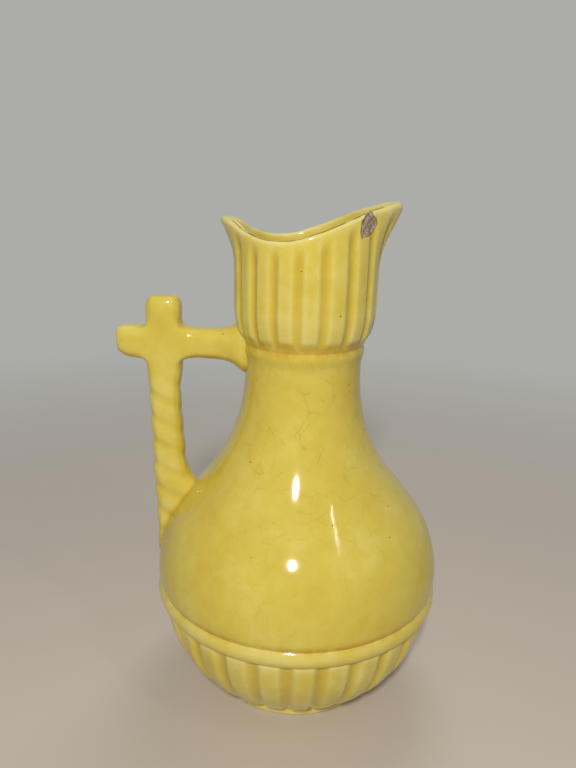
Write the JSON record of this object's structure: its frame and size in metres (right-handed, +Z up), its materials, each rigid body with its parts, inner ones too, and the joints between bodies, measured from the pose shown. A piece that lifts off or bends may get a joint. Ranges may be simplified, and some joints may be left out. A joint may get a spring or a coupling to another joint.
{
  "type": "oinochoe jug",
  "caption": "Yellow glazed earthenware pouring jug with a lobed lower bowl, a rolled belly bead, a fluted pinched mouth and a crossed, rope-twist handle.",
  "frame": {"origin": "centre of the foot, on the surface that the jug stands on", "axes": "+Z up along the vessel's axis, +X towards the pouring point, -X towards the handle"},
  "size_m": [0.1406, 0.1252, 0.2149],
  "materials": {
    "yellow_glaze": "gloss"
  },
  "bodies": {
    "root": {"foot_ring": "yellow_glaze", "gadrooned_bowl": "yellow_glaze", "belly_bead": "yellow_glaze", "belly_and_neck": "yellow_glaze", "neck_collar": "yellow_glaze", "fluted_mouth": "yellow_glaze", "handle_crossbar": "yellow_glaze", "handle_top_stub": "yellow_glaze", "twisted_upright": "yellow_glaze"}
  },
  "joints": []
}
